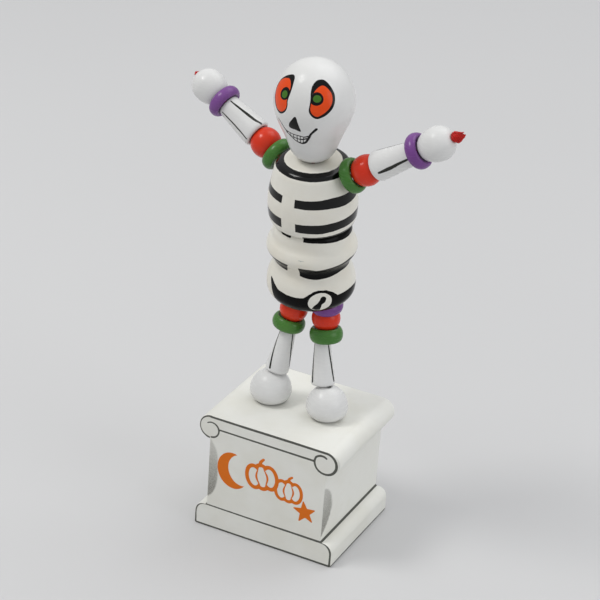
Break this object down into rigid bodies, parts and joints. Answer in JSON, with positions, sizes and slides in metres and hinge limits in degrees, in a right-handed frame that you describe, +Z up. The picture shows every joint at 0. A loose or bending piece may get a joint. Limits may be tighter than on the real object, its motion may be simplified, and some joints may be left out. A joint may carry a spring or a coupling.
{
  "type": "push puppet skeleton figure",
  "caption": "Jointed wooden skeleton push puppet with raised arms on a hollow pedestal; a sprung button below slackens its strings so that it collapses.",
  "frame": {"origin": "middle of the pedestal's underside", "axes": "+Z up, -Y the way the figure faces, +X the figure's left"},
  "size_m": [0.0755, 0.0318, 0.1244],
  "materials": {
    "pedestal_paint": "cream-white satin paint on wood, with grey lines and orange motifs",
    "body_paint": "cream-white gloss paint on wood, with black bands",
    "white_gloss": "white gloss lacquer on wood",
    "red_gloss": "orange-red gloss lacquer on wood",
    "green_gloss": "green gloss lacquer on wood",
    "purple_gloss": "purple gloss lacquer on wood",
    "bare_wood": "bare turned wood",
    "peg_wood": "bare dowel",
    "spring_steel": "bright spring wire",
    "red_string": "twisted cotton string"
  },
  "bodies": {
    "base": {"base_block": "pedestal_paint", "button_spring": "spring_steel", "left_string": "red_string", "right_string": "red_string", "head_string": "red_string"},
    "button": {"button": "bare_wood", "left_string_peg": "peg_wood", "right_string_peg": "peg_wood"},
    "left_foot": {"left_foot": "white_gloss"},
    "left_shin": {"left_shin": "white_gloss"},
    "left_knee_ring": {"left_knee_ring": "green_gloss"},
    "left_knee_ball": {"left_knee_ball": "red_gloss"},
    "left_hip_ring": {"left_hip_ring": "purple_gloss"},
    "left_shoulder_ring": {"left_shoulder_ring": "green_gloss"},
    "left_shoulder_ball": {"left_shoulder_ball": "red_gloss"},
    "left_arm": {"left_arm": "white_gloss"},
    "left_wrist_ring": {"left_wrist_ring": "purple_gloss"},
    "left_hand": {"left_hand": "white_gloss", "left_string_tuft": "red_string"},
    "right_foot": {"right_foot": "white_gloss"},
    "right_shin": {"right_shin": "white_gloss"},
    "right_knee_ring": {"right_knee_ring": "green_gloss"},
    "right_knee_ball": {"right_knee_ball": "red_gloss"},
    "right_hip_ring": {"right_hip_ring": "purple_gloss"},
    "right_shoulder_ring": {"right_shoulder_ring": "green_gloss"},
    "right_shoulder_ball": {"right_shoulder_ball": "red_gloss"},
    "right_arm": {"right_arm": "white_gloss"},
    "right_wrist_ring": {"right_wrist_ring": "purple_gloss"},
    "right_hand": {"right_hand": "white_gloss", "right_string_tuft": "red_string"},
    "hips": {"hips": "body_paint"},
    "chest": {"chest": "body_paint"},
    "neck": {"head_knot": "red_string"},
    "head": {"head": "white_gloss"}
  },
  "joints": [
    {"name": "left_foot_tilt", "type": "hinge", "parent": "base", "child": "left_foot", "pos_m": [0.00776, -0.00423, 0.03205], "axis": [1, 0, 0], "range_deg": [0, 6]},
    {"name": "left_ankle", "type": "hinge", "parent": "left_foot", "child": "left_shin", "pos_m": [0.00776, -0.00053, 0.03455], "axis": [1, 0, 0], "range_deg": [0, 44]},
    {"name": "left_knee", "type": "hinge", "parent": "left_shin", "child": "hips", "pos_m": [0.00425, 0.00258, 0.05668], "axis": [1, 0, 0], "range_deg": [-76, 0]},
    {"name": "left_knee_seat", "type": "hinge", "parent": "left_shin", "child": "left_knee_ring", "pos_m": [0.00425, 0.00258, 0.05668], "axis": [1, 0, 0], "range_deg": [-3, 0]},
    {"name": "left_knee_roll", "type": "hinge", "parent": "left_shin", "child": "left_knee_ball", "pos_m": [0.00425, 0.00258, 0.05668], "axis": [1, 0, 0], "range_deg": [-38, 0]},
    {"name": "left_hip_seat", "type": "hinge", "parent": "hips", "child": "left_hip_ring", "pos_m": [0.00425, 0.00258, 0.05668], "axis": [1, 0, 0], "range_deg": [0, 4]},
    {"name": "right_knee", "type": "hinge", "parent": "hips", "child": "right_shin", "pos_m": [-0.0045, 0.00258, 0.05668], "axis": [1, 0, 0], "range_deg": [0, 76]},
    {"name": "right_knee_seat", "type": "hinge", "parent": "right_shin", "child": "right_knee_ring", "pos_m": [-0.0045, 0.00258, 0.05668], "axis": [1, 0, 0], "range_deg": [-3, 0]},
    {"name": "right_knee_roll", "type": "hinge", "parent": "right_shin", "child": "right_knee_ball", "pos_m": [-0.0045, 0.00258, 0.05668], "axis": [1, 0, 0], "range_deg": [-38, 0]},
    {"name": "right_hip_seat", "type": "hinge", "parent": "hips", "child": "right_hip_ring", "pos_m": [-0.0045, 0.00258, 0.05668], "axis": [1, 0, 0], "range_deg": [0, 4]},
    {"name": "right_ankle", "type": "hinge", "parent": "right_shin", "child": "right_foot", "pos_m": [-0.00776, -0.00053, 0.03455], "axis": [1, 0, 0], "range_deg": [-44, 0]},
    {"name": "waist", "type": "hinge", "parent": "hips", "child": "chest", "pos_m": [0, -0.0087, 0.08164], "axis": [1, 0, 0], "range_deg": [0, 18]},
    {"name": "neck_nod", "type": "hinge", "parent": "chest", "child": "neck", "pos_m": [-0.00029, -0.00431, 0.09919], "axis": [1, 0, 0], "range_deg": [0, 20]},
    {"name": "neck_turn", "type": "hinge", "parent": "neck", "child": "head", "pos_m": [-0.00002, -0.00246, 0.09953], "axis": [0.0032, -0.1047, 0.9945], "range_deg": [-60, 60]},
    {"name": "left_shoulder_seat", "type": "hinge", "parent": "chest", "child": "left_shoulder_ring", "pos_m": [0.01109, -0.00264, 0.09477], "axis": [-0.0593, 0.9901, 0.1268], "range_deg": [0, 8]},
    {"name": "left_shoulder_inner", "type": "hinge", "parent": "left_shoulder_ring", "child": "left_shoulder_ball", "pos_m": [0.01412, -0.00315, 0.10017], "axis": [-0.0593, 0.9901, 0.1268], "range_deg": [0, 26]},
    {"name": "left_shoulder_outer", "type": "hinge", "parent": "left_shoulder_ball", "child": "left_arm", "pos_m": [0.01412, -0.00315, 0.10017], "axis": [-0.0593, 0.9901, 0.1268], "range_deg": [0, 30]},
    {"name": "left_wrist", "type": "hinge", "parent": "left_arm", "child": "left_wrist_ring", "pos_m": [0.02695, -0.00306, 0.10544], "axis": [-0.0593, 0.9901, 0.1268], "range_deg": [0, 18]},
    {"name": "left_hand_tilt", "type": "hinge", "parent": "left_wrist_ring", "child": "left_hand", "pos_m": [0.03123, -0.00355, 0.11129], "axis": [-0.0593, 0.9901, 0.1268], "range_deg": [0, 12]},
    {"name": "right_shoulder_seat", "type": "hinge", "parent": "chest", "child": "right_shoulder_ring", "pos_m": [-0.01126, 0.00229, 0.09272], "axis": [-0.247, -0.9612, -0.1231], "range_deg": [0, 8]},
    {"name": "right_shoulder_inner", "type": "hinge", "parent": "right_shoulder_ring", "child": "right_shoulder_ball", "pos_m": [-0.01491, 0.00258, 0.09775], "axis": [-0.247, -0.9612, -0.1231], "range_deg": [0, 26]},
    {"name": "right_shoulder_outer", "type": "hinge", "parent": "right_shoulder_ball", "child": "right_arm", "pos_m": [-0.01491, 0.00258, 0.09775], "axis": [-0.247, -0.9612, -0.1231], "range_deg": [0, 30]},
    {"name": "right_wrist", "type": "hinge", "parent": "right_arm", "child": "right_wrist_ring", "pos_m": [-0.02794, 0.00544, 0.10154], "axis": [-0.247, -0.9612, -0.1231], "range_deg": [0, 18]},
    {"name": "right_hand_tilt", "type": "hinge", "parent": "right_wrist_ring", "child": "right_hand", "pos_m": [-0.03283, 0.00601, 0.10688], "axis": [-0.247, -0.9612, -0.1231], "range_deg": [0, 12]},
    {"name": "button_press", "type": "slide", "parent": "base", "child": "button", "axis": [0, 0, 1], "range_m": [0, 0.0065], "stiffness_N_per_m": 300, "springref_m": -0.003, "deforming": ["button_spring", "left_string", "right_string", "head_string"]}
  ],
  "couplings": [
    {"joint": "left_foot_tilt", "follows": "button_press", "rad_per_m": 16.111},
    {"joint": "left_ankle", "follows": "button_press", "rad_per_m": 118.15},
    {"joint": "left_knee", "follows": "button_press", "rad_per_m": -204.07},
    {"joint": "left_knee_seat", "follows": "button_press", "rad_per_m": -8.0554},
    {"joint": "left_knee_roll", "follows": "button_press", "rad_per_m": -102.03},
    {"joint": "left_hip_seat", "follows": "button_press", "rad_per_m": 10.74},
    {"joint": "right_knee", "follows": "button_press", "rad_per_m": 204.07},
    {"joint": "right_knee_seat", "follows": "button_press", "rad_per_m": -8.0554},
    {"joint": "right_knee_roll", "follows": "button_press", "rad_per_m": -102.03},
    {"joint": "right_hip_seat", "follows": "button_press", "rad_per_m": 10.74},
    {"joint": "right_ankle", "follows": "button_press", "rad_per_m": -118.15},
    {"joint": "waist", "follows": "button_press", "rad_per_m": 48.332},
    {"joint": "neck_nod", "follows": "button_press", "rad_per_m": 53.702},
    {"joint": "left_shoulder_seat", "follows": "button_press", "rad_per_m": 21.481},
    {"joint": "left_shoulder_inner", "follows": "button_press", "rad_per_m": 69.813},
    {"joint": "left_shoulder_outer", "follows": "button_press", "rad_per_m": 80.554},
    {"joint": "left_wrist", "follows": "button_press", "rad_per_m": 48.332},
    {"joint": "left_hand_tilt", "follows": "button_press", "rad_per_m": 32.221},
    {"joint": "right_shoulder_seat", "follows": "button_press", "rad_per_m": 21.481},
    {"joint": "right_shoulder_inner", "follows": "button_press", "rad_per_m": 69.813},
    {"joint": "right_shoulder_outer", "follows": "button_press", "rad_per_m": 80.554},
    {"joint": "right_wrist", "follows": "button_press", "rad_per_m": 48.332},
    {"joint": "right_hand_tilt", "follows": "button_press", "rad_per_m": 32.221}
  ]
}
